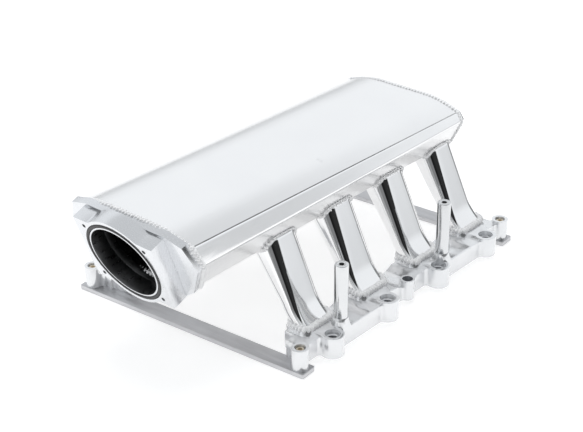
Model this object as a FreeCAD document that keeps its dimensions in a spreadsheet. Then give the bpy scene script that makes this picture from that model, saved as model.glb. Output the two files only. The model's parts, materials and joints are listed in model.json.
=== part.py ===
"""Fabricated aluminium intake manifold for a V8, as separate pieces that would come apart on a bench.

Engine frame, in millimetres: X is across the engine, Y runs along the crankshaft from the throttle
end (-Y) to the rear (+Y), and Z is up.  Z = 0 is the underside of the two cross bars that the
manifold stands on.  Pieces are modelled about the middle of the cylinder banks, and every Placement
then adds frame_shift along Y, so that the origin is the bottom centre of the whole manifold.
"""
import FreeCAD, Part
import math
import os
import Sketcher
from FreeCAD import Placement, Rotation, Vector

PIECES_FOLDER = "parts"
SHEET_NAME = "Dimensions"
X_AXIS = Vector(1, 0, 0)
Z_AXIS = Vector(0, 0, 1)
# A runner's front corner reaches its full radius at 1 / this share of the runner's height.
RADIUS_GROWTH_RATE = 1.3
# How sharply a runner's outer face curves out below the knee; 1 would be a straight flare.
FLARE_POWER = 1.15
# The flange's outline is first put together from slices of this thickness.
OUTLINE_SLICE = 1.0
# Share of a corner's radius lost for each millimetre that an outline is drawn inwards.
RADIUS_SHRINK = 0.7
# Right half of the front plate's outline, (x, height above the throttle axis), bottom to top.
FRONT_PLATE_CORNERS = [
    (50.0, -56.0),
    (68.0, -47.0),
    (83.0, -35.0),
    (105.0, 9.5),
    (92.0, 43.5),
    (64.0, 52.0),
]

doc = FreeCAD.newDocument("IntakeManifold")
sheet = doc.addObject("Spreadsheet::Sheet", SHEET_NAME)

DRIVING_DIMENSIONS = {
    # where things are along and across the engine
    "frame_shift": 53.57,
    "cylinder_pitch": 111.76,
    "bank_offset": 12.0,
    "injector_reach": 179.1,
    "bolt_reach": 169.4,
    "end_bolt_spread": 218.4,
    "inner_bolt_reach": 147.0,
    # head flange
    "flange_base": 6.0,
    "flange_web_top": 30.0,
    "boss_top": 34.0,
    "end_boss_top": 34.7,
    "flange_inner_edge": 126.0,
    "port_margin": 6.0,
    "land_margin": 2.5,
    "flange_outer_edge": 181.0,
    "flange_half_length": 196.0,
    "flange_tab_edge": 142.0,
    "flange_tab_half_length": 212.0,
    "injector_lobe_radius": 15.0,
    "injector_bore_radius": 6.85,
    "injector_rim_radius": 10.0,
    "injector_rim_depth": 7.0,
    "injector_seat": 16.0,
    "spray_radius": 5.5,
    "spray_run": 39.0,
    "spray_drop": 10.0,
    "end_boss_radius": 11.3,
    "bolt_boss_radius": 9.5,
    "bolt_hole_radius": 3.4,
    "counterbore_radius": 7.1,
    "counterbore_depth": 8.0,
    "saddle_port_half_width": 20.0,
    "saddle_injector_half_width": 13.0,
    "saddle_spread": 7.0,
    "scoop_radius": 45.0,
    "scoop_depth": 6.0,
    "seal_land": 3.0,
    "seal_groove_width": 3.2,
    "seal_groove_depth": 2.4,
    "seal_squeeze": 0.5,
    # fuel rail posts
    "post_reach": 171.0,
    "front_post_offset": -142.0,
    "rear_post_offset": 74.0,
    "post_radius": 9.0,
    "post_foot": 18.0,
    "post_top": 118.0,
    "post_flare_radius": 14.0,
    "post_flare_top": 44.0,
    "post_flare_lip": 0.6,
    "post_flare_root": 3.0,
    "post_thread_radius": 3.3,
    "post_thread_depth": 20.0,
    # cross bars and their screws
    "bar_width": 25.4,
    "bar_thickness": 6.0,
    "bar_length": 366.6,
    "bar_chamfer": 1.5,
    "screw_radius": 3.0,
    "screw_head_radius": 5.0,
    "screw_head_height": 6.0,
    "screw_tip": 1.0,
    "hex_across_flats": 5.0,
    # plenum: half widths and heights of its section at the front and at the rear
    "sheet_thickness": 3.0,
    "front_station": -300.0,
    "rear_station": 221.0,
    "crown_half_width": 60.0,
    "crown_height_front": 200.0,
    "crown_height_rear": 192.0,
    "shoulder_half_width": 95.0,
    "shoulder_height_front": 187.5,
    "shoulder_height_rear": 180.0,
    "crease_half_width": 103.5,
    "crease_height_front": 164.0,
    "crease_height_rear": 168.0,
    "floor_half_width_front": 82.5,
    "floor_half_width_rear": 85.5,
    "floor_height_front": 123.5,
    "floor_height_rear": 131.6,
    "belly_half_width": 50.0,
    "belly_height_front": 104.0,
    "belly_height_rear": 129.0,
    "bend_radius": 5.0,
    "crown_bend_radius": 140.0,
    "belly_bend_radius": 40.0,
    "end_plate_thickness": 6.0,
    # throttle end
    "throttle_tilt": 20.2,
    "throttle_station": -329.3,
    "throttle_height": 143.0,
    "throttle_bore_radius": 51.0,
    "throttle_block_depth": 22.0,
    "throttle_block_half_width": 65.5,
    "throttle_block_half_height": 49.0,
    "throttle_ring_radius": 63.0,
    "throttle_ear_fillet": 12.0,
    "throttle_screw_x": 50.0,
    "throttle_screw_z": 40.0,
    "throttle_thread_radius": 2.6,
    "throttle_thread_depth": 16.0,
    "o_ring_groove_inner": 53.2,
    "o_ring_groove_outer": 58.4,
    "o_ring_groove_depth": 3.4,
    "o_ring_section_radius": 2.1,
    "front_plate_depth": 11.0,
    "front_plate_flat": 43.0,
    "front_plate_opening": 52.5,
    # runners: outer face and inner face at each level, across the engine
    "runner_half_width": 27.5,
    "runner_centre_offset": 7.0,
    "runner_lean": 4.0,
    "runner_wall": 3.0,
    "runner_foot": 36.0,
    "weld_land_root": 1.0,
    "runner_depth_at_knee": 30.0,
    "runner_taper": 0.25,
    "runner_slope": 0.52,
    "runner_reach_at_knee": 132.0,
    "runner_knee": 60.0,
    "runner_flare_reach": 153.0,
    "runner_foot_depth": 33.0,
    "runner_top": 172.0,
    "runner_small_radius": 6.0,
    "runner_large_radius": 18.5,
    "runner_rear_radius": 14.0,
    "runner_inner_radius": 12.0,
    "runner_valley_radius": 18.0,
}
for row, (alias, number) in enumerate(DRIVING_DIMENSIONS.items(), start=1):
    sheet.set(f"A{row}", alias)
    sheet.set(f"B{row}", str(number))
    sheet.setAlias(f"B{row}", alias)
doc.recompute()


def dim(alias):
    """Value of one cell of the sheet, in millimetres or degrees."""
    return float(sheet.get(alias))


def cell(expression):
    """Turn '{name} * 2' into an expression on the sheet's cells."""
    return expression.replace("{", SHEET_NAME + ".").replace("}", "")


def place_in_frame(piece):
    """Bind the piece's place along the engine to the sheet."""
    piece.setExpression("Placement.Base.y", cell("{frame_shift}"))


def place_at_throttle(piece):
    """Put a piece modelled about the throttle axis on the tilted throttle face."""
    piece.Placement = Placement(Vector(), Rotation(X_AXIS, dim("throttle_tilt")))
    piece.setExpression("Placement.Base.y", cell("{throttle_station} + {frame_shift}"))
    piece.setExpression("Placement.Base.z", cell("{throttle_height}"))


def new_body(label):
    body = doc.addObject("PartDesign::Body", label)
    body.Label = label
    return body


def origin_plane(body, role):
    return next(plane for plane in body.Origin.OriginFeatures if plane.Role == role)


def new_sketch(body, name, role, offset=""):
    """Sketch on one of the body's own origin planes; offset is an expression along its normal."""
    sketch = body.newObject("Sketcher::SketchObject", name)
    sketch.AttachmentSupport = [(origin_plane(body, role), "")]
    sketch.MapMode = "FlatFace"
    if offset:
        sketch.setExpression("AttachmentOffset.Base.z", cell(offset))
    return sketch


def add_circle(sketch, x, y, radius):
    """Circle whose centre and radius are expressions on the sheet."""
    index = sketch.addGeometry(Part.Circle(Vector(1, 1, 0), Z_AXIS, 1.0), False)
    for kind, text in (("DistanceX", x), ("DistanceY", y), ("Radius", radius)):
        if kind == "Radius":
            constraint = Sketcher.Constraint(kind, index, 1.0)
        else:
            constraint = Sketcher.Constraint(kind, -1, 1, index, 3, 1.0)
        number = sketch.addConstraint(constraint)
        sketch.setExpression(f"Constraints[{number}]", cell(text))


def add_outline(sketch, edges):
    """Closed outline given as lines and arcs."""
    for edge in edges:
        sketch.addGeometry(edge, False)


def pad(body, name, sketch, length):
    feature = body.newObject("PartDesign::Pad", name)
    feature.Profile = sketch
    feature.setExpression("Length", cell(length))
    doc.recompute()
    return feature


def pocket(body, name, sketch, length, reverse):
    """Pocket whose direction is checked by the volume that it removes."""
    before = body.Shape.Volume
    feature = body.newObject("PartDesign::Pocket", name)
    feature.Profile = sketch
    feature.Reversed = reverse
    feature.setExpression("Length", cell(length))
    doc.recompute()
    if body.Shape.Volume > before - 1.0:
        raise RuntimeError(f"{name} removes nothing")
    return feature


def new_solid(label, shape):
    """Piece whose free-form shape is worked out here from the sheet."""
    piece = doc.addObject("Part::Feature", label)
    piece.Label = label
    piece.Shape = shape
    return piece


def rounded_polygon(points, radii, lift):
    """Closed wire through points (a, b), each corner rounded by its own radius.

    lift turns a point (a, b) into a point in space.
    """
    count = len(points)
    starts = []
    ends = []
    middles = []
    for index, (corner_a, corner_b) in enumerate(points):
        corner = Vector(corner_a, corner_b, 0)
        before = Vector(*points[index - 1], 0) - corner
        after = Vector(*points[(index + 1) % count], 0) - corner
        before.normalize()
        after.normalize()
        half_angle = before.getAngle(after) / 2
        reach = radii[index] / math.tan(half_angle)
        bisector = (before + after).normalize()
        centre = corner + bisector * (radii[index] / math.sin(half_angle))
        starts.append(corner + before * reach)
        ends.append(corner + after * reach)
        middles.append(centre - bisector * radii[index])
    edges = []
    for index in range(count):
        arc = [lift(point.x, point.y) for point in (starts[index], middles[index], ends[index])]
        edges.append(Part.Arc(*arc).toShape())
        following = starts[(index + 1) % count]
        edges.append(Part.makeLine(arc[2], lift(following.x, following.y)))
    return Part.Wire(edges)


# --- plenum ---------------------------------------------------------------------------------------

def along(front_alias, rear_alias, station):
    """A plenum size at a station, on the straight taper between its front and rear values."""
    share = (station - dim("front_station")) / (dim("rear_station") - dim("front_station"))
    return dim(front_alias) + share * (dim(rear_alias) - dim(front_alias))


def plenum_section(station, inset):
    """Section of the plenum across the engine, drawn inset inside its outer surface."""
    crown = along("crown_height_front", "crown_height_rear", station) - inset
    shoulder_z = along("shoulder_height_front", "shoulder_height_rear", station) - inset
    crease_z = along("crease_height_front", "crease_height_rear", station)
    floor_z = along("floor_height_front", "floor_height_rear", station) + inset
    floor_x = along("floor_half_width_front", "floor_half_width_rear", station) - inset
    belly_z = along("belly_height_front", "belly_height_rear", station) + inset
    shoulder_x = dim("shoulder_half_width") - inset
    crease_x = dim("crease_half_width") - inset
    bend = dim("bend_radius") - RADIUS_SHRINK * inset
    right = [(dim("belly_half_width"), belly_z), (floor_x, floor_z)]
    right += [(crease_x, crease_z), (shoulder_x, shoulder_z)]
    flat = [(dim("crown_half_width"), crown)]
    radii = [dim("belly_bend_radius"), bend, bend, bend, dim("crown_bend_radius")]
    right_side = right + flat
    left_side = [(-x, z) for x, z in reversed(right_side)]
    return rounded_polygon(
        right_side + left_side,
        radii + radii[::-1],
        lambda x, z: Vector(x, station, z),
    )


def throttle_side(distance):
    """Block of space in front of the plane at this distance behind the throttle face."""
    size = 600.0
    block = Part.makeBox(size, size, size, Vector(-size / 2, distance - size, -size / 2))
    tilt = Rotation(X_AXIS, dim("throttle_tilt"))
    block.Placement = Placement(Vector(0, dim("throttle_station"), dim("throttle_height")), tilt)
    return block


PLATE_REAR = dim("throttle_block_depth") + dim("front_plate_depth")


def plenum_volume(inset, rear_extra):
    front = plenum_section(dim("front_station") - 60.0, inset)
    rear = plenum_section(dim("rear_station") + rear_extra, inset)
    return Part.makeLoft([front, rear], True, True).cut(throttle_side(PLATE_REAR))


def above_crease():
    """Space above the crease line where the upper and lower shells meet."""
    near = dim("front_station") - 100.0
    far = dim("rear_station") + 100.0
    reach = 2 * dim("crease_half_width")
    corners = [
        Vector(-reach, near, along("crease_height_front", "crease_height_rear", near)),
        Vector(-reach, far, along("crease_height_front", "crease_height_rear", far)),
        Vector(-reach, far, 2 * dim("crown_height_front")),
        Vector(-reach, near, 2 * dim("crown_height_front")),
    ]
    return Part.Face(Part.makePolygon(corners + corners[:1])).extrude(Vector(2 * reach, 0, 0))


# --- runners --------------------------------------------------------------------------------------

def runner_section(centre_y, height, inset):
    """Level section of a runner; its outer face stands out towards +X."""
    knee = dim("runner_knee")
    foot = dim("runner_foot")
    if height >= knee:
        outer = dim("runner_reach_at_knee") - dim("runner_slope") * (height - knee)
        depth = dim("runner_depth_at_knee") + dim("runner_taper") * (height - knee)
    else:
        share = (knee - height) / (knee - foot)
        flare = dim("runner_flare_reach") - dim("runner_reach_at_knee")
        outer = dim("runner_reach_at_knee") + flare * share ** FLARE_POWER
        knee_depth = dim("runner_depth_at_knee")
        depth = knee_depth + (dim("runner_foot_depth") - knee_depth) * share
    rise = (height - foot) / (dim("runner_top") - foot)
    middle = centre_y + dim("runner_centre_offset") + dim("runner_lean") * rise
    growth = dim("runner_large_radius") - dim("runner_small_radius")
    front_radius = dim("runner_small_radius") + growth * min(1.0, rise * RADIUS_GROWTH_RATE)
    half = dim("runner_half_width") - inset
    outer -= inset
    inner = outer - depth + 2 * inset
    corners = [
        (outer, middle - half),
        (outer, middle + half),
        (inner, middle + half),
        (inner, middle - half),
    ]
    rear_radii = [dim("runner_rear_radius"), dim("runner_inner_radius")]
    radii = [front_radius] + rear_radii + [dim("runner_valley_radius")]
    radii = [radius - RADIUS_SHRINK * inset for radius in radii]
    return rounded_polygon(corners, radii, lambda x, y: Vector(x, y, height))


def runner_volume(centre_y, inset):
    foot = dim("runner_foot")
    knee = dim("runner_knee")
    top = dim("runner_top")
    levels = [foot + share * (knee - foot) for share in (0.0, 0.25, 0.5, 0.75, 1.0)]
    levels += [foot + (top - foot) / RADIUS_GROWTH_RATE, top]
    wires = [runner_section(centre_y, level, inset) for level in levels]
    return Part.makeLoft(wires, True, True)


def cylinder_stations():
    """Y of the four cylinders of the +X bank."""
    return [dim("bank_offset") + (index - 1.5) * dim("cylinder_pitch") for index in range(4)]


def half_turn(shape):
    """The same piece on the other bank, turned half a turn about Z."""
    turned = shape.copy()
    turned.rotate(Vector(), Z_AXIS, 180)
    return turned


# --- head flange ----------------------------------------------------------------------------------

def upright(x, y, radius, low, high):
    return Part.makeCylinder(radius, high - low, Vector(x, y, low), Z_AXIS)


def post_stations():
    return [dim("bank_offset") + dim(alias) for alias in ("front_post_offset", "rear_post_offset")]


def bolt_places():
    """(x, y, boss radius, boss top) of the five head bolts of the +X bank."""
    middle = dim("bank_offset")
    end_spread = dim("end_bolt_spread")
    plain = (dim("bolt_boss_radius"), dim("boss_top"))
    end = (dim("end_boss_radius"), dim("end_boss_top"))
    return [
        (dim("bolt_reach"), middle - end_spread) + end,
        (dim("inner_bolt_reach"), middle - dim("cylinder_pitch")) + plain,
        (dim("bolt_reach"), middle) + plain,
        (dim("inner_bolt_reach"), middle + dim("cylinder_pitch")) + plain,
        (dim("bolt_reach"), middle + end_spread) + end,
    ]


def outline_disc(x, y, radius):
    return Part.makeCylinder(radius, OUTLINE_SLICE, Vector(x, y, 0), Z_AXIS)


def outline_strip(width, length, y):
    return Part.makeBox(width, length, OUTLINE_SLICE, Vector(dim("flange_inner_edge"), y, 0))


def flange_outline():
    """Wavy outline: a plain strip, a lobe round each injector, and a boss at each end and bolt."""
    middle = dim("bank_offset")
    low_y = middle - dim("flange_half_length")
    length = 2 * dim("flange_half_length")
    web_width = dim("bolt_reach") - dim("flange_inner_edge")
    outline = outline_strip(web_width, length, low_y)
    pitch = dim("cylinder_pitch")
    rail_width = dim("flange_outer_edge") - dim("flange_inner_edge")
    for side in (-1, 1):
        rail_y = middle + side * pitch - pitch / 2
        outline = outline.fuse(outline_strip(rail_width, pitch, rail_y))
    tab_width = dim("bolt_reach") - dim("flange_tab_edge")
    tab_half = dim("flange_tab_half_length")
    tab_corner = Vector(dim("flange_tab_edge"), middle - tab_half, 0)
    outline = outline.fuse(Part.makeBox(tab_width, 2 * tab_half, OUTLINE_SLICE, tab_corner))
    for station in cylinder_stations():
        lobe = runner_section(station, dim("runner_foot"), 0.0).makeOffset2D(dim("port_margin"))
        lobe.translate(Vector(0, 0, -dim("runner_foot")))
        port_lobe = Part.Face(Part.Wire(lobe.Edges)).extrude(Vector(0, 0, OUTLINE_SLICE))
        outline = outline.fuse(port_lobe)
        outline = outline.fuse(outline_disc(dim("injector_reach"), station, dim("injector_lobe_radius")))
    for x, y, radius, top in bolt_places():
        outline = outline.fuse(outline_disc(x, y, radius))
    faces = outline.removeSplitter().Faces
    outline = min(faces, key=lambda face: face.CenterOfMass.z)
    blend = dim("bend_radius")
    grown = outline.makeOffset2D(blend)
    return grown.makeOffset2D(-blend)


def weld_land(station):
    """Raised land that one runner is welded to, sloping down into the web all round."""
    foot = runner_section(station, dim("runner_foot"), 0.0)
    top = foot.makeOffset2D(dim("land_margin"))
    bottom = foot.makeOffset2D(dim("port_margin"))
    bottom_level = dim("flange_web_top") - dim("weld_land_root")
    bottom.translate(Vector(0, 0, bottom_level - dim("runner_foot")))
    return Part.makeLoft([Part.Wire(bottom.Edges), Part.Wire(top.Edges)], True, True)


def injector_saddle(station):
    """Raised saddle between one weld land and its injector boss, sloping down on both sides."""
    near = dim("runner_flare_reach") - dim("saddle_spread")
    far = dim("injector_reach")
    port_y = station + dim("runner_centre_offset")
    wires = []
    root_level = dim("flange_web_top") - dim("weld_land_root")
    for grow, level in ((dim("saddle_spread"), root_level), (0.0, dim("boss_top"))):
        port_half = dim("saddle_port_half_width") + grow
        far_half = dim("saddle_injector_half_width") + grow
        corners = [
            Vector(near, port_y - port_half, level),
            Vector(far, station - far_half, level),
            Vector(far, station + far_half, level),
            Vector(near, port_y + port_half, level),
        ]
        wires.append(Part.makePolygon(corners + corners[:1]))
    return Part.makeLoft(wires, True, True)


def port_outline(station, grow):
    """Outline of the port passage, grown outwards."""
    passage = runner_section(station, dim("runner_foot"), dim("runner_wall"))
    if grow:
        passage = passage.makeOffset2D(grow)
    passage.translate(Vector(0, 0, dim("flange_base") - dim("runner_foot")))
    return Part.Face(Part.Wire(passage.Edges))


def seal_ring(station, low, high):
    """Flat ring round one port between two levels, as wide as the seal groove."""
    outer = port_outline(station, dim("seal_land") + dim("seal_groove_width"))
    ring = outer.cut(port_outline(station, dim("seal_land")))
    ring.translate(Vector(0, 0, low - dim("flange_base")))
    return ring.extrude(Vector(0, 0, high - low))


def head_flange():
    base = dim("flange_base")
    web_top = dim("flange_web_top")
    outline = flange_outline()
    outline.translate(Vector(0, 0, base))
    flange = outline.extrude(Vector(0, 0, web_top - base))
    scoop_radius = dim("scoop_radius")
    inner_edge = dim("flange_inner_edge") - 1.0
    length = dim("flange_outer_edge") - 3.0 - inner_edge
    for index in (-1, 0, 1):
        centre_y = dim("bank_offset") + index * dim("cylinder_pitch")
        centre_z = web_top - dim("scoop_depth") + scoop_radius
        start = Vector(inner_edge, centre_y, centre_z)
        flange = flange.cut(Part.makeCylinder(scoop_radius, length, start, X_AXIS))
    additions = [weld_land(station) for station in cylinder_stations()]
    additions += [injector_saddle(station) for station in cylinder_stations()]
    for station in cylinder_stations():
        lobe = (dim("injector_reach"), station, dim("injector_lobe_radius"))
        additions.append(upright(*lobe, base, dim("boss_top")))
    for x, y, radius, top in bolt_places():
        additions.append(upright(x, y, radius, base, top))
    flare_root = web_top - dim("post_flare_root")
    flare_top_radius = dim("post_radius") + dim("post_flare_lip")
    for station in post_stations():
        foot = Vector(dim("post_reach"), station, flare_root)
        height = dim("post_flare_top") - flare_root
        additions.append(Part.makeCone(dim("post_flare_radius"), flare_top_radius, height, foot))
    flange = flange.fuse(additions)
    outer_limit = flange_outline()
    flange = flange.common(outer_limit.extrude(Vector(0, 0, dim("post_top"))))
    removals = []
    for station in cylinder_stations():
        removals.append(port_outline(station, 0).extrude(Vector(0, 0, dim("runner_foot"))))
        removals.append(seal_ring(station, base - 1.0, base + dim("seal_groove_depth")))
        x = dim("injector_reach")
        top = dim("boss_top")
        seat = dim("injector_seat")
        removals.append(upright(x, station, dim("injector_bore_radius"), seat, top + 1))
        spray_start = Vector(x, station, seat + dim("spray_radius"))
        spray = Vector(-dim("spray_run"), 0, -dim("spray_drop"))
        removals.append(Part.makeCylinder(dim("spray_radius"), spray.Length, spray_start, spray))
        rim_floor = top - dim("injector_rim_depth")
        removals.append(upright(x, station, dim("injector_rim_radius"), rim_floor, top + 20))
    for x, y, radius, top in bolt_places():
        removals.append(upright(x, y, dim("bolt_hole_radius"), 0, top + 1))
        seat = top - dim("counterbore_depth")
        removals.append(upright(x, y, dim("counterbore_radius"), seat, top + 20))
    for station in post_stations():
        removals.append(
            upright(dim("post_reach"), station, dim("post_radius"), dim("post_foot"), dim("post_top"))
        )
    return flange.cut(removals).removeSplitter()


# --- the pieces -----------------------------------------------------------------------------------

def make_plenum_shells(plenum, runner_passages):
    skin = plenum.cut(plenum_volume(dim("sheet_thickness"), 1.0))
    upper_space = above_crease()
    place_in_frame(new_solid("plenum_upper_shell", skin.common(upper_space)))
    lower = skin.cut(upper_space)
    for passage in runner_passages:
        lower = lower.cut(passage)
    place_in_frame(new_solid("plenum_lower_shell", lower))


def make_rear_end_plate():
    """Flat plate that closes the rear of the plenum."""
    body = new_body("rear_end_plate")
    sketch = new_sketch(body, "RearPlateOutline", "XZ_Plane", "0 - {rear_station}")
    section = plenum_section(dim("rear_station"), 0.0)
    for edge in section.Edges:
        flat = edge.copy()
        flat.translate(Vector(0, -dim("rear_station"), 0))
        flat.rotate(Vector(), X_AXIS, -90)
        start = flat.firstVertex(True).Point
        end = flat.lastVertex(True).Point
        if isinstance(edge.Curve, Part.Line):
            sketch.addGeometry(Part.LineSegment(start, end), False)
        else:
            middle = flat.valueAt((flat.FirstParameter + flat.LastParameter) / 2)
            sketch.addGeometry(Part.Arc(start, middle, end), False)
    plate = pad(body, "RearPlate", sketch, "{end_plate_thickness}")
    plate.Reversed = True
    place_in_frame(body)


def make_front_end_plate():
    """Thick faceted plate between the plenum and the throttle block, parallel to the throttle face."""
    body = new_body("front_end_plate")
    sketch = new_sketch(body, "FrontPlateOutline", "XZ_Plane", "0 - {throttle_block_depth}")
    corners = FRONT_PLATE_CORNERS + [(-x, z) for x, z in reversed(FRONT_PLATE_CORNERS)]
    for index, corner in enumerate(corners):
        following = corners[(index + 1) % len(corners)]
        line = Part.LineSegment(Vector(*corner, 0), Vector(*following, 0))
        sketch.addGeometry(line, False)
    plate = pad(body, "FrontPlate", sketch, "{front_plate_depth}")
    plate.Reversed = True
    doc.recompute()
    opening = new_sketch(body, "FrontPlateOpening", "XZ_Plane", "0 - {throttle_block_depth}")
    radius = dim("front_plate_opening")
    flat_z = dim("front_plate_flat")
    flat_x = math.sqrt(radius ** 2 - flat_z ** 2)
    ends = [Vector(-flat_x, flat_z, 0), Vector(flat_x, flat_z, 0)]
    opening.addGeometry(Part.LineSegment(*ends), False)
    opening.addGeometry(Part.Arc(ends[0], Vector(0, -radius, 0), ends[1]), False)
    pocket(body, "FrontPlateHole", opening, "{front_plate_depth}", False)
    place_at_throttle(body)


def throttle_block_edges():
    """Outline of the throttle block: a rectangle whose long sides swell round the bore."""
    width = dim("throttle_block_half_width")
    height = dim("throttle_block_half_height")
    ring = dim("throttle_ring_radius")
    fillet = dim("throttle_ear_fillet")
    centre_x = math.sqrt((ring + fillet) ** 2 - (height + fillet) ** 2)
    centre = Vector(centre_x, height + fillet, 0)
    on_ring = centre * (ring / (ring + fillet))
    on_edge = Vector(centre_x, height, 0)
    between = ((on_ring + on_edge) * 0.5 - centre).normalize() * fillet + centre
    edges = []
    for side in (1, -1):
        def flip(point, mirror=1):
            return Vector(point.x * mirror, point.y * side, 0)
        corner = Vector(width, height, 0)
        edges.append(Part.LineSegment(flip(corner), flip(on_edge)))
        edges.append(Part.Arc(flip(on_edge), flip(between), flip(on_ring)))
        edges.append(Part.Arc(flip(on_ring), flip(Vector(0, ring, 0)), flip(on_ring, -1)))
        edges.append(Part.Arc(flip(on_ring, -1), flip(between, -1), flip(on_edge, -1)))
        edges.append(Part.LineSegment(flip(on_edge, -1), flip(corner, -1)))
    for side in (1, -1):
        top = Vector(width * side, height, 0)
        edges.append(Part.LineSegment(top, Vector(width * side, -height, 0)))
    return edges


def make_throttle_block():
    """Block with the throttle bore, its O-ring groove and four tapped holes."""
    body = new_body("throttle_block")
    sketch = new_sketch(body, "ThrottleBlockOutline", "XZ_Plane")
    add_outline(sketch, throttle_block_edges())
    block = pad(body, "ThrottleBlock", sketch, "{throttle_block_depth}")
    block.Reversed = True
    doc.recompute()
    bore = new_sketch(body, "ThrottleBoreCircle", "XZ_Plane")
    add_circle(bore, "0", "0", "{throttle_bore_radius}")
    pocket(body, "ThrottleBore", bore, "{throttle_block_depth}", False)
    groove = new_sketch(body, "ThrottleGrooveRings", "XZ_Plane")
    add_circle(groove, "0", "0", "{o_ring_groove_inner}")
    add_circle(groove, "0", "0", "{o_ring_groove_outer}")
    pocket(body, "ThrottleGroove", groove, "{o_ring_groove_depth}", False)
    holes = new_sketch(body, "ThrottleScrewCircles", "XZ_Plane")
    for x_sign in ("-1", "1"):
        for z_sign in ("-1", "1"):
            x = x_sign + " * {throttle_screw_x}"
            z = z_sign + " * {throttle_screw_z}"
            add_circle(holes, x, z, "{throttle_thread_radius}")
    pocket(body, "ThrottleScrewHoles", holes, "{throttle_thread_depth}", False)
    place_at_throttle(body)


def make_throttle_o_ring():
    ring = doc.addObject("Part::Torus", "throttle_o_ring")
    ring.Label = "throttle_o_ring"
    ring.setExpression("Radius1", cell("({o_ring_groove_inner} + {o_ring_groove_outer}) / 2"))
    ring.setExpression("Radius2", cell("{o_ring_section_radius}"))
    tilt = Rotation(X_AXIS, dim("throttle_tilt"))
    stand_up = Rotation(X_AXIS, 90)
    ring.Placement = Placement(Vector(), tilt * stand_up)
    seat = "({o_ring_groove_depth} - {o_ring_section_radius} - 0.02)"
    lean = "{throttle_tilt} * 1 deg"
    across = "{throttle_station} + {frame_shift} + " + seat + " * cos(" + lean + ")"
    ring.setExpression("Placement.Base.y", cell(across))
    ring.setExpression("Placement.Base.z", cell("{throttle_height} + " + seat + " * sin(" + lean + ")"))


def make_runners(plenum):
    """Eight runners, numbered along the +X bank and then along the -X bank, front to rear."""
    passages = []
    for bank, turn in ((0, False), (1, True)):
        for index, station in enumerate(cylinder_stations()):
            outer = runner_volume(station, 0.0)
            passage = runner_volume(station, dim("runner_wall"))
            if turn:
                outer = half_turn(outer)
                passage = half_turn(passage)
                number = 8 - index
            else:
                number = 1 + index
            runner = outer.cut(passage).cut(plenum)
            passages.append(passage)
            place_in_frame(new_solid(f"runner_{number}", runner))
    return passages


def make_flanges():
    flange = head_flange()
    place_in_frame(new_solid("head_flange_right", flange))
    place_in_frame(new_solid("head_flange_left", half_turn(flange)))


def make_posts():
    """Fuel rail posts, each pressed into its flange and tapped from the top."""
    number = 0
    for side in (1, -1):
        for station in post_stations():
            number += 1
            body = new_body(f"fuel_rail_post_{number}")
            circle = new_sketch(body, f"PostCircle{number}", "XY_Plane", "{post_foot}")
            add_circle(circle, "0", "0", "{post_radius}")
            pad(body, f"PostShaft{number}", circle, "{post_top} - {post_foot}")
            thread = new_sketch(body, f"PostThreadCircle{number}", "XY_Plane", "{post_top}")
            add_circle(thread, "0", "0", "{post_thread_radius}")
            pocket(body, f"PostThread{number}", thread, "{post_thread_depth}", False)
            x = "{post_reach}" if side > 0 else "0 - {post_reach}"
            alias = "front_post_offset" if station == post_stations()[0] else "rear_post_offset"
            y = "({bank_offset} + {" + alias + "}) * (" + str(side) + ") + {frame_shift}"
            body.setExpression("Placement.Base.x", cell(x))
            body.setExpression("Placement.Base.y", cell(y))


def make_cross_bars():
    """Flat bars that join the two flanges across each end; the banks are staggered, so they skew."""
    skew = math.degrees(math.atan2(dim("bank_offset"), dim("bolt_reach")))
    spread = math.hypot(dim("bank_offset"), dim("bolt_reach"))
    for label, side in (("front_cross_bar", "-1"), ("rear_cross_bar", "1")):
        bar = doc.addObject("Part::Box", label + "_blank")
        bar.setExpression("Length", cell("{bar_length}"))
        bar.setExpression("Width", cell("{bar_width}"))
        bar.setExpression("Height", cell("{bar_thickness}"))
        bar.setExpression("Placement.Base.x", cell("-{bar_length} / 2"))
        bar.setExpression("Placement.Base.y", cell("-{bar_width} / 2"))
        eased = doc.addObject("Part::Chamfer", label + "_eased")
        eased.Base = bar
        doc.recompute()
        chamfer = dim("bar_chamfer")
        upright_edges = [
            (number, chamfer, chamfer)
            for number, edge in enumerate(bar.Shape.Edges, start=1)
            if abs(edge.tangentAt(edge.FirstParameter).z) > 0.9
        ]
        eased.Edges = upright_edges
        drills = []
        for end in (-1, 1):
            drill = doc.addObject("Part::Cylinder", f"{label}_drill_{end + 2}")
            drill.setExpression("Radius", cell("{screw_radius}"))
            drill.setExpression("Height", cell("3 * {bar_thickness}"))
            drill.Placement = Placement(Vector(end * spread, 0, 0), Rotation())
            drill.setExpression("Placement.Base.z", cell("-{bar_thickness}"))
            drills.append(drill)
        both = doc.addObject("Part::MultiFuse", label + "_drills")
        both.Shapes = drills
        cut = doc.addObject("Part::Cut", label)
        cut.Label = label
        cut.Base = eased
        cut.Tool = both
        cut.Placement = Placement(Vector(), Rotation(Z_AXIS, skew))
        cut.setExpression("Placement.Base.y", cell(side + " * {end_bolt_spread} + {frame_shift}"))


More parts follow.
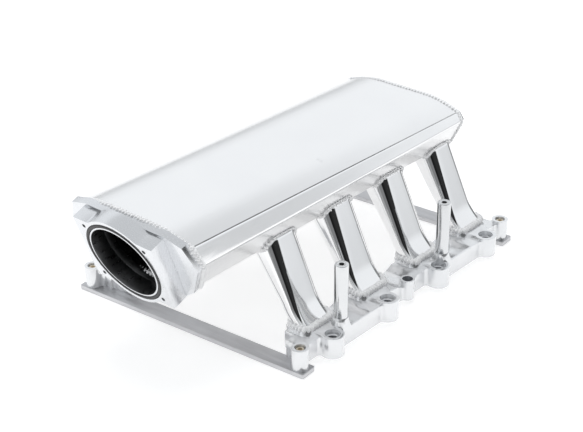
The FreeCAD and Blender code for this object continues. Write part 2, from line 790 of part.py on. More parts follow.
def make_cross_bar_screws():
    """Four identical socket head screws that hold the cross bars to the end bosses."""
    seat = dim("end_boss_top") - dim("counterbore_depth")
    head_top = seat + dim("screw_head_height")
    hexagon = []
    corner = dim("hex_across_flats") / math.sqrt(3)
    for step in range(7):
        angle = math.radians(60 * step)
        hexagon.append(Vector(corner * math.cos(angle), corner * math.sin(angle), head_top))
    socket = Part.Face(Part.makePolygon(hexagon)).extrude(Vector(0, 0, -0.5 * dim("screw_head_height")))
    shank = upright(0, 0, dim("screw_radius"), dim("screw_tip"), seat)
    head = upright(0, 0, dim("screw_head_radius"), seat, head_top)
    screw = shank.fuse(head).cut(socket).removeSplitter()
    screws = []
    for x, y, radius, top in (bolt_places()[0], bolt_places()[-1]):
        for side in (1, -1):
            copy = screw.copy()
            copy.translate(Vector(side * x, side * y, 0))
            screws.append(copy)
    place_in_frame(new_solid("cross_bar_screws", Part.makeCompound(screws)))


def make_port_seals():
    """Eight moulded seals in the grooves round the ports, standing just proud of the flanges."""
    base = dim("flange_base")
    low = base - dim("seal_squeeze")
    rings = [seal_ring(station, low, base + dim("seal_groove_depth")) for station in cylinder_stations()]
    rings += [half_turn(ring) for ring in rings]
    place_in_frame(new_solid("port_seals", Part.makeCompound(rings)))


plenum_space = plenum_volume(0.0, 0.0)
passages = make_runners(plenum_space)
make_plenum_shells(plenum_space, passages)
make_rear_end_plate()
make_front_end_plate()
make_throttle_block()
make_throttle_o_ring()
make_flanges()
make_posts()
make_cross_bars()
make_cross_bar_screws()
make_port_seals()
doc.recompute()

NODES = [
    "plenum_upper_shell",
    "plenum_lower_shell",
    "rear_end_plate",
    "front_end_plate",
    "throttle_block",
    "throttle_o_ring",
    "head_flange_right",
    "head_flange_left",
    "front_cross_bar",
    "rear_cross_bar",
    "cross_bar_screws",
    "port_seals",
]
NODES += [f"runner_{number}" for number in range(1, 9)]
NODES += [f"fuel_rail_post_{number}" for number in range(1, 5)]

for thing in doc.Objects:
    if {"Invalid", "Error"} & set(thing.State):
        raise RuntimeError(f"{thing.Name} failed: {thing.State}")

os.makedirs(PIECES_FOLDER, exist_ok=True)
whole = FreeCAD.BoundBox()
for node in NODES:
    shape = doc.getObjectsByLabel(node)[0].Shape
    if shape.isNull() or not shape.isValid():
        raise RuntimeError(f"{node} has no valid shape")
    whole.add(shape.optimalBoundingBox())
    shape.exportStep(f"{PIECES_FOLDER}/{node}.step")
    print(f"{node}: {len(shape.Solids)} solids, {shape.Volume:.0f} mm3")
print("extent", whole)
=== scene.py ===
import json
import math
import random

import bmesh
import bpy
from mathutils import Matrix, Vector
from mathutils.bvhtree import BVHTree
from mathutils.geometry import convex_hull_2d


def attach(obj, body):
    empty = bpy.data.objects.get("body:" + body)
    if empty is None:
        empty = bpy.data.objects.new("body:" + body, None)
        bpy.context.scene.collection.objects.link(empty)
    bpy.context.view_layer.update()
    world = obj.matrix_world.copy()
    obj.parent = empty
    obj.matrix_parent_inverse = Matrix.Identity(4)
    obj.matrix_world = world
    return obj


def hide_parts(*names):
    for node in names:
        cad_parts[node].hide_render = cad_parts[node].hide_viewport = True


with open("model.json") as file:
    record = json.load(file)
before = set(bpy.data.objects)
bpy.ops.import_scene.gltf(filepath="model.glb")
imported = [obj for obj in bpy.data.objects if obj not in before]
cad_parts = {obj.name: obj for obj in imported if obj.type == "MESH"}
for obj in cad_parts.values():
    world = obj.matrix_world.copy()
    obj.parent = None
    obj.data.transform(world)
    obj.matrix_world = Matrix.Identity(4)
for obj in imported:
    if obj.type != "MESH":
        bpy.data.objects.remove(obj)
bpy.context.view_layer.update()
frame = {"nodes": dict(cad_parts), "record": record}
nodes = frame["nodes"]

MM = 0.001
MOUNTS = frame["record"]["mounts"]
PLENUM_AXIS_HEIGHT = 0.155
RUNNERS = [f"runner_{number}" for number in range(1, 9)]
POSTS = [f"fuel_rail_post_{number}" for number in range(1, 5)]
FLANGES = ["head_flange_right", "head_flange_left"]
BARS = ["front_cross_bar", "rear_cross_bar"]

# Dark parts of the studio: (direction, dark within degrees, light beyond degrees, how dark).
DARK_GAPS = [
    ((0.93, -0.10, 0.30), 30, 35, 0.03),
    ((0.66, -0.73, 0.12), 16, 40, 0.25),
    ((0.21, 0.68, 0.70), 8, 13, 0.05),
    ((0.17, 0.98, 0.0), 14, 24, 0.15),
]
# Brightness of the studio by height above the horizon: (sine of the height, grey).
STUDIO_GREYS = [
    (0.0, 0.60),
    (0.10, 0.72),
    (0.19, 0.88),
    (0.32, 0.99),
    (0.62, 0.99),
    (0.74, 0.74),
    (1.0, 0.72),
]

# Runner section, in millimetres, as the frame has it.
FOOT, KNEE, TOP = 36.0, 60.0, 172.0
FOOT_REACH, KNEE_REACH = 153.0, 132.0
FOOT_DEPTH, KNEE_DEPTH = 33.0, 30.0
WALL_SLOPE, TAPER = 0.52, 0.25
CENTRE_OFFSET, LEAN, HALF_WIDTH = 7.0, 4.0, 27.5
SMALL_RADIUS, LARGE_RADIUS, RADIUS_GROWTH = 6.0, 18.5, 1.3
REAR_RADIUS, INNER_RADIUS, VALLEY_RADIUS = 14.0, 12.0, 18.0
ARC_STEPS, FLAT_STEPS = 8, 4

# Runner levels, in millimetres: the flare ends and the straight wall starts this far over the knee.
FLARE_END = 6
FLARE_STEPS, WALL_STEPS = 10, 14
AIM_LOW, AIM_HIGH = 20, 60
MISSED_TOP = 40
WALL_THICKNESS = 0.003

# How near points must be, in metres, to count as one corner, as level, touching or on a plane.
SAME_POINT = 0.000004
SAME_LEVEL = 0.00002
TOUCHING = 0.00012
ON_PLANE = 0.00003

# Weld beads, in metres; the hump of a ripple goes from its valley up by its crest.
RIPPLE_PITCH = 0.0050
RIPPLE_VALLEY, RIPPLE_CREST, RIPPLE_SHAPE = 0.36, 0.70, 0.8
BEAD_HEIGHT = 0.9
SIZE_SCATTER, DRIFT_SCATTER = 0.07, 0.12
GROUND_SHARE, GROUND_REACH = 0.7, 1.2
FOOT_BEAD, TOP_BEAD = 0.0046, 0.0040
FRONT_BEAD, REAR_BEAD = 0.0042, 0.0024
RINGS_PER_RIPPLE = 8
BEAD_SIDES = 12
CRESCENT_LEAD = 0.0013

# Edges: turns in degrees that are flat, rounded over or shown sharp, and rounding widths in metres.
FLAT_TURN, EASED_TURN, SHARP_TURN, SHELL_SHARP_TURN = 0.4, 28.0, 32.0, 24.0
BROAD_EDGE, MIDDLE_EDGE, REAR_EDGE = 0.0009, 0.0007, 0.0008
BAR_EDGE, SCREW_EDGE = 0.0005, 0.0003

# Bore walls painted darker as shade: (mount names, spare radius, spare length, material index).
BORE_SHADE_INDEX, DEEP_SHADE_INDEX = 1, 2
FLANGE_BORES = [
    (["injector_bore"], 0.0002, 0.0001, BORE_SHADE_INDEX),
    (["head_bolt"], 0.0002, 0.0001, BORE_SHADE_INDEX),
]
POST_BORES = [(["fuel_rail_thread"], 0.0001, 0.0, DEEP_SHADE_INDEX)]
PLATE_BORES = [(["throttle_bore"], 0.0022, 0.1, DEEP_SHADE_INDEX)]
BLOCK_BORES = [
    (["throttle_bore"], 0.0004, 0.0, DEEP_SHADE_INDEX),
    (["throttle_screw"], 0.0002, 0.0, DEEP_SHADE_INDEX),
]

# How far each kind of bead is moved out of its seam, in metres.
FOOT_OUT, TOP_OUT, FRONT_OUT = 0.0012, 0.0008, 0.0010

THROTTLE_TILT = 20.2
FLOOR_REACH = 14.0


# --- materials ------------------------------------------------------------------------------------

def new_material(name, metallic, roughness, specular=0.5):
    material = bpy.data.materials.new(name)
    material.use_nodes = True
    shader = material.node_tree.nodes["Principled BSDF"]
    shader.inputs["Metallic"].default_value = metallic
    shader.inputs["Roughness"].default_value = roughness
    shader.inputs["Specular IOR Level"].default_value = specular
    return material, shader


def add_node(material, kind, **values):
    node = material.node_tree.nodes.new(kind)
    for name, value in values.items():
        setattr(node, name, value)
    return node


def link(material, source, target):
    material.node_tree.links.new(source, target)


def object_point(material, stretch=(1.0, 1.0, 1.0), turn=(0.0, 0.0, 0.0)):
    """Object coordinates, stretched along the axes; one unit is a metre."""
    coordinates = add_node(material, "ShaderNodeTexCoord")
    mapping = add_node(material, "ShaderNodeMapping")
    mapping.inputs["Scale"].default_value = stretch
    mapping.inputs["Rotation"].default_value = turn
    link(material, coordinates.outputs["Object"], mapping.inputs["Vector"])
    return mapping.outputs["Vector"]


def noise(material, point, scale, detail=3.0, rough=0.5):
    node = add_node(material, "ShaderNodeTexNoise")
    node.inputs["Scale"].default_value = scale
    node.inputs["Detail"].default_value = detail
    node.inputs["Roughness"].default_value = rough
    link(material, point, node.inputs["Vector"])
    return node.outputs["Fac"]


def spread(material, factor, low, high):
    """Turns a noise factor into a number between low and high."""
    node = add_node(material, "ShaderNodeMapRange")
    node.inputs["From Min"].default_value = 0.3
    node.inputs["From Max"].default_value = 0.7
    node.inputs["To Min"].default_value = low
    node.inputs["To Max"].default_value = high
    link(material, factor, node.inputs["Value"])
    return node.outputs["Result"]


def two_colours(material, factor, first, second):
    node = add_node(material, "ShaderNodeValToRGB")
    node.color_ramp.elements[0].position = 0.3
    node.color_ramp.elements[1].position = 0.7
    node.color_ramp.elements[0].color = (*first, 1.0)
    node.color_ramp.elements[1].color = (*second, 1.0)
    link(material, factor, node.inputs["Fac"])
    return node.outputs["Color"]


def bump(material, shader, height, strength, distance, before=None):
    node = add_node(material, "ShaderNodeBump")
    node.inputs["Strength"].default_value = strength
    node.inputs["Distance"].default_value = distance
    link(material, height, node.inputs["Height"])
    if before is not None:
        link(material, before, node.inputs["Normal"])
    link(material, node.outputs["Normal"], shader.inputs["Normal"])
    return node.outputs["Normal"]


def metal(
    name, light, dark, rough_low, rough_high, stretch, grain, strength, cloud=9.0, metallic=1.0
):
    """Metal: a slow change of colour, streaky roughness and a fine grain along one direction.

    Below 1, metallic mixes in some plain white, for welds and for the flange's milled faces.
    """
    material, shader = new_material(name, metallic, rough_low)
    slow = noise(material, object_point(material), cloud, 3.0)
    link(material, two_colours(material, slow, dark, light), shader.inputs["Base Color"])
    streaks = noise(material, object_point(material, stretch), grain, 4.0, 0.6)
    rough = spread(material, streaks, rough_low, rough_high)
    link(material, rough, shader.inputs["Roughness"])
    bump(material, shader, streaks, strength, 0.00005)
    return material


SHEET = metal(
    "satin_sheet_finish",
    (0.93, 0.93, 0.93),
    (0.90, 0.90, 0.905),
    0.13, 0.2, (1, 0.05, 1), 900, 0.06
)
# Painted shade: a darker copy of the sheet finish for the lower shell, which sits in shade under the
# upper one.
SHADED_LOWER_SHEET = metal(
    "lower_sheet_finish",
    (0.80, 0.80, 0.80),
    (0.74, 0.74, 0.745),
    0.16, 0.26, (1, 0.05, 1), 900, 0.08
)
MILLED = metal(
    "milled_plate_finish",
    (0.80, 0.81, 0.825),
    (0.74, 0.75, 0.77),
    0.2, 0.3, (1, 1, 0.08), 700, 0.15
)
FLANGE = metal(
    "milled_flange_finish",
    (0.86, 0.865, 0.875),
    (0.79, 0.80, 0.815),
    0.10, 0.20, (1, 0.08, 1), 500, 0.12,
    metallic=0.7,
)
TUBE = metal(
    "polished_tube_finish",
    (0.90, 0.90, 0.90),
    (0.84, 0.84, 0.845),
    0.06, 0.11, (1, 1, 0.06), 400, 0.05
)
POST = metal(
    "turned_post_finish",
    (0.76, 0.765, 0.77),
    (0.66, 0.67, 0.68),
    0.12, 0.2, (0.1, 0.1, 1), 900, 0.12
)
BAR = metal(
    "brushed_bar_finish",
    (0.68, 0.68, 0.69),
    (0.56, 0.56, 0.575),
    0.38, 0.55, (0.03, 1, 1), 700, 0.35
)
WELD = metal(
    "weld_bead_finish",
    (0.98, 0.98, 0.98),
    (0.94, 0.94, 0.945),
    0.3, 0.45, (1, 1, 1), 300, 0.3, 150.0,
    metallic=0.05,
)
SCREW = metal(
    "zinc_screw_finish",
    (0.86, 0.79, 0.66),
    (0.62, 0.54, 0.43),
    0.25, 0.4, (1, 1, 0.2), 500, 0.2, 200.0
)


def rubber():
    material, shader = new_material("seal_rubber_finish", 0.0, 0.45)
    fine = noise(material, object_point(material), 600, 4.0)
    colour = two_colours(material, fine, (0.012, 0.012, 0.013), (0.03, 0.03, 0.031))
    link(material, colour, shader.inputs["Base Color"])
    bump(material, shader, fine, 0.2, 0.0001)
    return material


RUBBER = rubber()
# Painted shade: a darker grey for the walls of drilled holes, standing in for the shade down in them.
BORE_SHADE = metal(
    "bore_painted_shade",
    (0.62, 0.625, 0.64),
    (0.45, 0.46, 0.48),
    0.25, 0.4, (1, 1, 9), 300, 0.3, 80.0
)
# Painted shade: a dark grey for the inside of the plenum and the deep bores, where little light
# reaches.
DEEP_SHADE = metal(
    "inner_wall_painted_shade",
    (0.30, 0.305, 0.31),
    (0.19, 0.192, 0.196),
    0.25, 0.4, (1, 0.2, 1), 300, 0.3, 25.0
)

FINISH = {
    "satin_sheet": SHEET,
    "milled_plate": MILLED,
    "milled_flange": FLANGE,
    "polished_tube": TUBE,
    "bar_stock": BAR,
    "screw_steel": SCREW,
    "seal_rubber": RUBBER,
}


# --- mesh helpers ---------------------------------------------------------------------------------

def node_bmesh(name):
    """The node's mesh with its doubled corner points joined."""
    mesh = bmesh.new()
    mesh.from_mesh(nodes[name].data)
    bmesh.ops.remove_doubles(mesh, verts=mesh.verts, dist=SAME_POINT)
    return mesh


def mark_sharp(mesh, degrees):
    """Smooth shading, but sharp at edges that turn by more than this."""
    limit = math.radians(degrees)
    for face in mesh.faces:
        face.smooth = True
    for edge in mesh.edges:
        edge.smooth = len(edge.link_faces) == 2 and edge.calc_face_angle(0.0) <= limit


def new_piece(name, mesh, material):
    """Object from a bmesh, riding on the root body."""
    data = bpy.data.meshes.new(name)
    mesh.to_mesh(data)
    mesh.free()
    data.materials.append(material)
    piece = bpy.data.objects.new(name, data)
    bpy.context.scene.collection.objects.link(piece)
    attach(piece, "root")
    return piece


def near_bore(mount, spare, reach):
    """Test for faces of a bore mount's wall, drawn spare wider and reach longer each way."""
    start = Vector(mount["pos_m"])
    axis = Vector(mount["axis"])
    radius = mount["dims"]["r_mm"] * MM + spare
    half = mount["dims"]["length_mm"] * MM / 2 + reach

    def inside(point, normal):
        offset = point - start
        along = offset.dot(axis)
        away = offset - axis * along
        faces_in = away.dot(normal) < 0.2 * away.length
        return abs(along) < half and away.length < radius and faces_in

    return inside


def paint_bores(mesh, names, spare, reach, index):
    """Gives the faces inside these mounts a darker material of painted shade, as for deep holes."""
    chosen = [m for m in MOUNTS if m["name"].startswith(tuple(names))]
    tests = [near_bore(mount, spare, reach) for mount in chosen]
    for face in mesh.faces:
        spot = face.calc_center_median()
        if any(test(spot, face.normal) for test in tests):
            face.material_index = index


def shell_piece(name, material):
    """The CAD shell again, with the faces that look into the plenum in a darker material: painted
    shade for the enclosed inside.
    """
    mesh = node_bmesh(name)
    for face in mesh.faces:
        spot = face.calc_center_median()
        inward = Vector((-spot.x, 0, PLENUM_AXIS_HEIGHT - spot.z))
        # Faces that look inward get the painted shade of the dark inner material.
        if inward.dot(face.normal) > 0:
            face.material_index = 1
    mark_sharp(mesh, SHELL_SHARP_TURN)
    piece = new_piece(name + "_sheet", mesh, material)
    piece.data.materials.append(DEEP_SHADE)
    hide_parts(name)


def runner_outline(level):
    """Level section of a runner of the +X bank, about its cylinder's station, in millimetres."""
    if level >= KNEE:
        outer = KNEE_REACH - WALL_SLOPE * (level - KNEE)
        depth = KNEE_DEPTH + TAPER * (level - KNEE)
    else:
        share = (KNEE - level) / (KNEE - FOOT)
        straight = WALL_SLOPE * (KNEE - FOOT)
        outer = KNEE_REACH + straight * share + (FOOT_REACH - KNEE_REACH - straight) * share ** 2
        depth = KNEE_DEPTH + (FOOT_DEPTH - KNEE_DEPTH) * share
    rise = (level - FOOT) / (TOP - FOOT)
    middle = CENTRE_OFFSET + LEAN * rise
    front_radius = SMALL_RADIUS + (LARGE_RADIUS - SMALL_RADIUS) * min(1.0, rise * RADIUS_GROWTH)
    inner = outer - depth
    corners = [
        (outer, middle - HALF_WIDTH, -1, 1, front_radius, -90),
        (outer, middle + HALF_WIDTH, -1, -1, REAR_RADIUS, 0),
        (inner, middle + HALF_WIDTH, 1, -1, INNER_RADIUS, 90),
        (inner, middle - HALF_WIDTH, 1, 1, VALLEY_RADIUS, 180),
    ]
    points = []
    for x, y, x_way, y_way, radius, start in corners:
        for step in range(ARC_STEPS + 1):
            turn = math.radians(start + 90 * step / ARC_STEPS)
            spot_x = x + x_way * radius + radius * math.cos(turn)
            spot_y = y + y_way * radius + radius * math.sin(turn)
            points.append((spot_x, spot_y))
        following = corners[(corners.index((x, y, x_way, y_way, radius, start)) + 1) % 4]
        points.extend(flat_points(points[-1], following))
    return points


def flat_points(start, corner):
    """Points along a flat wall, from the end of one corner's arc to the start of the next."""
    x, y, x_way, y_way, radius, turn = corner
    turn = math.radians(turn)
    end_x = x + x_way * radius + radius * math.cos(turn)
    end_y = y + y_way * radius + radius * math.sin(turn)
    found = []
    for step in range(1, FLAT_STEPS):
        share = step / FLAT_STEPS
        found.append((start[0] + (end_x - start[0]) * share, start[1] + (end_y - start[1]) * share))
    return found


def make_runner(number, mount, side, tree):
    """Runner wall swept up from its foot to the plenum's surface, with a smooth flare below."""
    station = mount["pos_m"][1]

    def place(column, level):
        x, y = runner_outline(level)[column]
        return Vector((side * x * MM, station + side * y * MM, level * MM))

    count = len(runner_outline(FOOT))
    mesh = bmesh.new()
    columns = []
    for column in range(count):
        low = place(column, KNEE + AIM_LOW)
        way = (place(column, KNEE + AIM_HIGH) - low).normalized()
        hit = tree.ray_cast(low, way)[0]
        top = hit.z / MM if hit is not None else TOP - MISSED_TOP
        bend = KNEE + FLARE_END
        levels = [FOOT + (KNEE + FLARE_END - FOOT) * step / FLARE_STEPS for step in range(FLARE_STEPS)]
        rise = top - KNEE - FLARE_END
        levels += [bend + rise * step / WALL_STEPS for step in range(WALL_STEPS + 1)]
        columns.append([mesh.verts.new(place(column, level)) for level in levels])
    for column, line in enumerate(columns):
        following = columns[(column + 1) % count]
        for low in range(len(line) - 1):
            mesh.faces.new((line[low], following[low], following[low + 1], line[low + 1]))
    bmesh.ops.recalc_face_normals(mesh, faces=mesh.faces)
    for face in mesh.faces:
        face.smooth = True
    piece = new_piece(f"runner_wall_{number}", mesh, TUBE)
    wall = piece.modifiers.new("wall", "SOLIDIFY")
    wall.thickness = WALL_THICKNESS
    wall.offset = -1.0
    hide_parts(f"runner_{number}")


def make_all_runners():
    """The eight runners, each about the injector bore of its own cylinder."""
    surface = bmesh.new()
    surface.from_mesh(nodes["plenum_lower_shell"].data)
    tree = BVHTree.FromBMesh(surface)
    surface.free()
    for mount in MOUNTS:
        if mount["name"].startswith("injector_bore"):
            bank, place = mount["name"].split("_")[2:]
            side = 1 if bank == "right" else -1
            number = int(place) if side > 0 else 9 - int(place)
            make_runner(number, mount, side, tree)


def eased_piece(name, material, width, bores=()):
    """The CAD node again with its edges rounded over, which stands for the node.

    bores lists the bore walls painted darker as shade, as FLANGE_BORES does.
    """
    mesh = node_bmesh(name)
    bmesh.ops.dissolve_limit(
        mesh,
        angle_limit=math.radians(FLAT_TURN),
        verts=mesh.verts,
        edges=mesh.edges,
    )
    limit = math.radians(EASED_TURN)
    edges = [e for e in mesh.edges if len(e.link_faces) == 2 and e.calc_face_angle(0.0) > limit]
    bmesh.ops.bevel(
        mesh,
        geom=edges,
        offset=width,
        offset_type="OFFSET",
        segments=2,
        profile=0.5,
        affect="EDGES",
        clamp_overlap=True,
        material=-1,
    )
    bmesh.ops.triangulate(mesh, faces=[f for f in mesh.faces if len(f.verts) > 4])
    mark_sharp(mesh, SHARP_TURN)
    for names, spare, reach, index in bores:
        paint_bores(mesh, names, spare, reach, index)
    piece = new_piece(name + "_eased", mesh, material)
    # Materials 1 and 2 are painted shade for the bore walls.
    piece.data.materials.append(BORE_SHADE)
    piece.data.materials.append(DEEP_SHADE)
    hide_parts(name)


def sweep_bead(name, path, ups, radius, seed=1, scales=None):
    """Closed weld bead of overlapping crescents along a loop of points.

    ups holds, for each point, the way that the middle of the bead faces. scales holds the bead's
    size there, from 0, ground away, to 1, whole.
    """
    draw = random.Random(seed)
    lengths = [0.0]
    closed = path + path[:1]
    closed_ups = ups + ups[:1]
    scales = scales or [1.0] * len(path)
    closed_scales = scales + scales[:1]
    for first, second in zip(closed, closed[1:]):
        lengths.append(lengths[-1] + (second - first).length)
    total = lengths[-1]
    ripples = max(8, round(total / RIPPLE_PITCH))
    count = ripples * RINGS_PER_RIPPLE
    sizes = [1.0 + draw.uniform(-SIZE_SCATTER, SIZE_SCATTER) for _ in range(ripples)]
    drifts = [draw.uniform(-DRIFT_SCATTER, DRIFT_SCATTER) * radius for _ in range(ripples)]
    centres = []
    facing = []
    heights = []
    segment = 0
    for index in range(count):
        along = total * index / count
        while lengths[segment + 1] < along:
            segment += 1
        share = (along - lengths[segment]) / max(1e-9, lengths[segment + 1] - lengths[segment])
        centres.append(closed[segment].lerp(closed[segment + 1], share))
        facing.append(closed_ups[segment].lerp(closed_ups[segment + 1], share))
        heights.append(closed_scales[segment] * (1 - share) + closed_scales[segment + 1] * share)
    for _ in range(3):
        centres = [
            (centres[i - 2] + centres[i - 1] + centres[i] + centres[(i + 1) % count]
             + centres[(i + 2) % count]) / 5
            for i in range(count)
        ]
        facing = [
            (facing[i - 2] + facing[i - 1] + facing[i] + facing[(i + 1) % count]
             + facing[(i + 2) % count]).normalized()
            for i in range(count)
        ]
    mesh = bmesh.new()
    rings = []
    for index, centre in enumerate(centres):
        tangent = (centres[(index + 1) % count] - centres[index - 1]).normalized()
        up = (facing[index] - tangent * facing[index].dot(tangent)).normalized()
        side = tangent.cross(up)
        ripple = index // RINGS_PER_RIPPLE
        phase = (index % RINGS_PER_RIPPLE + 0.5) / RINGS_PER_RIPPLE
        swell = math.sin(math.pi * phase) ** RIPPLE_SHAPE
        hump = RIPPLE_VALLEY + RIPPLE_CREST * swell
        reach = radius * hump * sizes[ripple] * heights[index]
        middle = centre + side * drifts[ripple]
        ring = []
        for step in range(BEAD_SIDES):
            turn = 2 * math.pi * step / BEAD_SIDES
            lead = tangent * (CRESCENT_LEAD * math.cos(turn))
            out = up * (math.cos(turn) * reach * BEAD_HEIGHT) + side * (math.sin(turn) * reach)
            ring.append(mesh.verts.new(middle + out + lead))
        rings.append(ring)
    for index, ring in enumerate(rings):
        following = rings[(index + 1) % count]
        for step in range(BEAD_SIDES):
            after = (step + 1) % BEAD_SIDES
            mesh.faces.new((ring[step], ring[after], following[after], following[step]))
    bmesh.ops.recalc_face_normals(mesh, faces=mesh.faces)
    for face in mesh.faces:
        face.smooth = True
    return new_piece(name, mesh, WELD)


def level_seam(name, level, outward_share, up_share):
    """Outline of a node's flat end at a level, as points and the ways a bead there faces."""
    found = [v.co.copy() for v in nodes[name].data.vertices if abs(v.co.z - level) < SAME_LEVEL]
    order = convex_hull_2d([(p.x, p.y) for p in found])
    path = [found[i] for i in order]
    centre = sum(path, Vector()) / len(path)
    ups = []
    for point in path:
        away = point - centre
        away.z = 0
        ups.append((away.normalized() * outward_share + Vector((0, 0, up_share))).normalized())
    return path, ups


def contact_seam(name, other):
    """Longest rim of the end of one node that lies on another node's surface.

    The scales make the bead small where it faces outward, as if ground down there. Where the
    contact ring has a gap, its outer and inner rims are one chain, and the seam runs round both.
    The search starts at an edge taken out of a set, so the seam's first point varies between runs.
    """
    mesh = node_bmesh(name)
    surface = bmesh.new()
    surface.from_mesh(nodes[other].data)
    tree = BVHTree.FromBMesh(surface)
    surface.free()
    touching = set()
    for face in mesh.faces:
        spots = [v.co for v in face.verts] + [face.calc_center_median()]
        hits = [tree.find_nearest(spot) for spot in spots]
        if all(hit[3] < TOUCHING for hit in hits) and hits[-1][1].dot(face.normal) < -0.9:
            touching.add(face)
    rim = [e for e in mesh.edges if sum(face in touching for face in e.link_faces) == 1]
    chains = []
    left = set(rim)
    while left:
        edge = left.pop()
        chain = [edge]
        start, tip = edge.verts
        while tip != start:
            following = next((e for e in tip.link_edges if e in left), None)
            if following is None:
                break
            left.remove(following)
            chain.append(following)
            tip = following.other_vert(tip)
        chains.append(chain)
    outer = max(chains, key=lambda chain: sum(e.calc_length() for e in chain))
    path = []
    ups = []
    scales = []
    vertex = outer[0].verts[0]
    if vertex in outer[1].verts:
        vertex = outer[0].verts[1]
    for edge in outer:
        vertex = edge.other_vert(vertex)
        side = next(f.normal for f in edge.link_faces if f not in touching)
        end = next(f.normal for f in edge.link_faces if f in touching)
        path.append(vertex.co.copy())
        ups.append((side - end).normalized())
        outward = max(0.0, side.x * math.copysign(1.0, vertex.co.x))
        scales.append(1.0 - GROUND_SHARE * min(1.0, outward * GROUND_REACH) ** 2)
    mesh.free()
    return path, ups, scales


def plane_seam(names, point, normal):
    """Convex outline of the vertices of some nodes that lie on a plane."""
    across = Vector((1, 0, 0))
    upward = normal.cross(across).normalized()
    found = [
        v.co.copy()
        for name in names
        for v in nodes[name].data.vertices
        if abs((v.co - point).dot(normal)) < ON_PLANE
    ]
    order = convex_hull_2d([(p.dot(across), p.dot(upward)) for p in found])
    path = [found[i] for i in order]
    centre = sum(path, Vector()) / len(path)
    return path, [(p - centre).normalized() for p in path]


for name, node in nodes.items():
    slot_name = node.material_slots[0].material.name.split(".")[0]
    node.material_slots[0].material = FINISH[slot_name]
for name in POSTS:
    nodes[name].material_slots[0].material = POST


# --- camera, light and floor ----------------------------------------------------------------------

def make_camera():
    data = bpy.data.cameras.new("photo_camera")
    data.lens = 90.98
    data.sensor_width = 36.0
    data.clip_end = 100.0
    camera = bpy.data.objects.new("photo_camera", data)
    camera.location = (1.1322, -1.30323, 0.9987)
    camera.rotation_euler = (math.radians(90 - 27.63), 0.0, math.radians(40.32))
    bpy.context.scene.collection.objects.link(camera)
    bpy.context.scene.camera = camera


def area_light(name, place, target, size, power):
    """Softbox that lights but is not seen in reflections."""
    data = bpy.data.lights.new(name, "AREA")
    data.shape = "RECTANGLE"
    data.size, data.size_y = size
    data.energy = power
    light = bpy.data.objects.new(name, data)
    light.location = place
    aim = Vector(target) - Vector(place)
    light.rotation_euler = aim.to_track_quat("-Z", "Y").to_euler()
    light.visible_glossy = False
    bpy.context.scene.collection.objects.link(light)


def make_world():
    """A pale studio: light above, greyer at the horizon, with dark gaps between its softboxes."""
    world = bpy.data.worlds.new("studio")
    world.use_nodes = True
    tree = world.node_tree
    tree.nodes.clear()
    output = tree.nodes.new("ShaderNodeOutputWorld")
    background = tree.nodes.new("ShaderNodeBackground")
    coordinates = tree.nodes.new("ShaderNodeTexCoord")

    def ramp(factor, stops):
        node = tree.nodes.new("ShaderNodeValToRGB")
        elements = node.color_ramp.elements
        while len(elements) < len(stops):
            elements.new(0.5)
        for element, (position, grey) in zip(elements, stops):
            element.position = position
            element.color = (grey * 0.99, grey * 0.995, grey, 1.0)
        tree.links.new(factor, node.inputs["Fac"])
        return node.outputs["Color"]

    def times(first, second):
        node = tree.nodes.new("ShaderNodeMix")
        node.data_type = "RGBA"
        node.blend_type = "MULTIPLY"
        node.inputs["Factor"].default_value = 1.0
        tree.links.new(first, node.inputs["A"])
        tree.links.new(second, node.inputs["B"])
        return node.outputs["Result"]

    split = tree.nodes.new("ShaderNodeSeparateXYZ")
    tree.links.new(coordinates.outputs["Generated"], split.inputs["Vector"])
    light = ramp(split.outputs["Z"], STUDIO_GREYS)
    for way, inner, outer, depth in DARK_GAPS:
        dot = tree.nodes.new("ShaderNodeVectorMath")
        dot.operation = "DOT_PRODUCT"
        dot.inputs[1].default_value = Vector(way).normalized()
        tree.links.new(coordinates.outputs["Generated"], dot.inputs[0])
        edges = [(math.cos(math.radians(outer)), 1.0), (math.cos(math.radians(inner)), depth)]
        light = times(light, ramp(dot.outputs["Value"], edges))
    tree.links.new(light, background.inputs["Color"])
    background.inputs["Strength"].default_value = 1.0
    tree.links.new(background.outputs["Background"], output.inputs["Surface"])
    bpy.context.scene.world = world


def make_floor():
    mesh = bmesh.new()
    signs = [(-1, -1), (1, -1), (1, 1), (-1, 1)]
    corners = [(x * FLOOR_REACH, y * FLOOR_REACH, 0) for x, y in signs]
    mesh.faces.new([mesh.verts.new(corner) for corner in corners])
    data = bpy.data.meshes.new("floor")
    mesh.to_mesh(data)
    mesh.free()
    floor = bpy.data.objects.new("floor", data)
    bpy.context.scene.collection.objects.link(floor)
    material, shader = new_material("floor_paper", 0.0, 0.9, 0.1)
    fine = noise(material, object_point(material), 40, 2.0)
    colour = two_colours(material, fine, (0.62, 0.62, 0.62), (0.63, 0.63, 0.63))
    link(material, colour, shader.inputs["Base Color"])
    shader.inputs["Emission Color"].default_value = (1.0, 1.0, 1.0, 1.0)
    shader.inputs["Emission Strength"].default_value = 0.60
    data.materials.append(material)


# --- weld beads and eased edges -------------------------------------------------------------------

def moved_out(path, ups, distance):
    """The points of a seam, moved the way that the bead faces."""
    return [point + up * distance for point, up in zip(path, ups)]


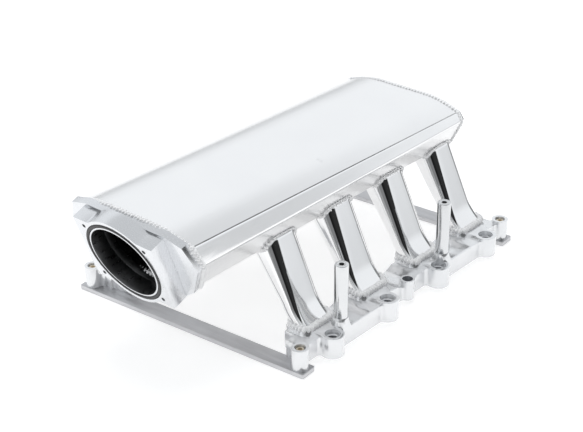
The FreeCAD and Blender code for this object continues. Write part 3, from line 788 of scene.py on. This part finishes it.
def make_welds():
    for number, name in enumerate(RUNNERS, start=1):
        foot = min(v.co.z for v in nodes[name].data.vertices)
        path, ups = level_seam(name, foot, 1.0, 0.9)
        path = moved_out(path, ups, FOOT_OUT)
        label = f"runner_foot_weld_{number}"
        sweep_bead(label, path, ups, FOOT_BEAD, seed=number)
        path, ups, scales = contact_seam(name, "plenum_lower_shell")
        path = moved_out(path, ups, TOP_OUT)
        label = f"runner_top_weld_{number}"
        sweep_bead(label, path, ups, TOP_BEAD, seed=20 + number, scales=scales)
    tilt = math.radians(THROTTLE_TILT)
    inward = Vector((0, math.cos(tilt), math.sin(tilt)))
    shells = ["plenum_upper_shell", "plenum_lower_shell"]
    depths = [v.co.dot(inward) for v in nodes["front_end_plate"].data.vertices]
    path, ups = plane_seam(shells, inward * max(depths), inward)
    path = moved_out(path, ups, FRONT_OUT)
    ups = [(up + inward * 0.5).normalized() for up in ups]
    sweep_bead("front_plate_weld", path, ups, FRONT_BEAD, seed=41)
    backward = Vector((0, 1, 0))
    rear_level = min(v.co.y for v in nodes["rear_end_plate"].data.vertices)
    path, ups = plane_seam(shells, backward * rear_level, backward)
    ups = [(up - backward * 0.2).normalized() for up in ups]
    sweep_bead("rear_plate_weld", path, ups, REAR_BEAD, seed=42)


make_welds()
make_all_runners()
for name in FLANGES:
    eased_piece(name, FLANGE, BROAD_EDGE, FLANGE_BORES)
for name in POSTS:
    eased_piece(name, POST, MIDDLE_EDGE, POST_BORES)
for name in BARS:
    eased_piece(name, BAR, BAR_EDGE)
eased_piece("front_end_plate", MILLED, BROAD_EDGE, PLATE_BORES)
eased_piece("throttle_block", MILLED, MIDDLE_EDGE, BLOCK_BORES)
shell_piece("plenum_upper_shell", SHEET)
# The lower shell gets the painted-shade copy of the sheet finish.
shell_piece("plenum_lower_shell", SHADED_LOWER_SHEET)
eased_piece("rear_end_plate", SHEET, REAR_EDGE)
eased_piece("cross_bar_screws", SCREW, SCREW_EDGE)

make_camera()
make_world()
make_floor()
area_light("overhead_softbox", (-0.4, 0.3, 2.6), (0, 0, 0.1), (1.5, 1.5), 24)
bpy.context.scene.view_settings.view_transform = "Standard"
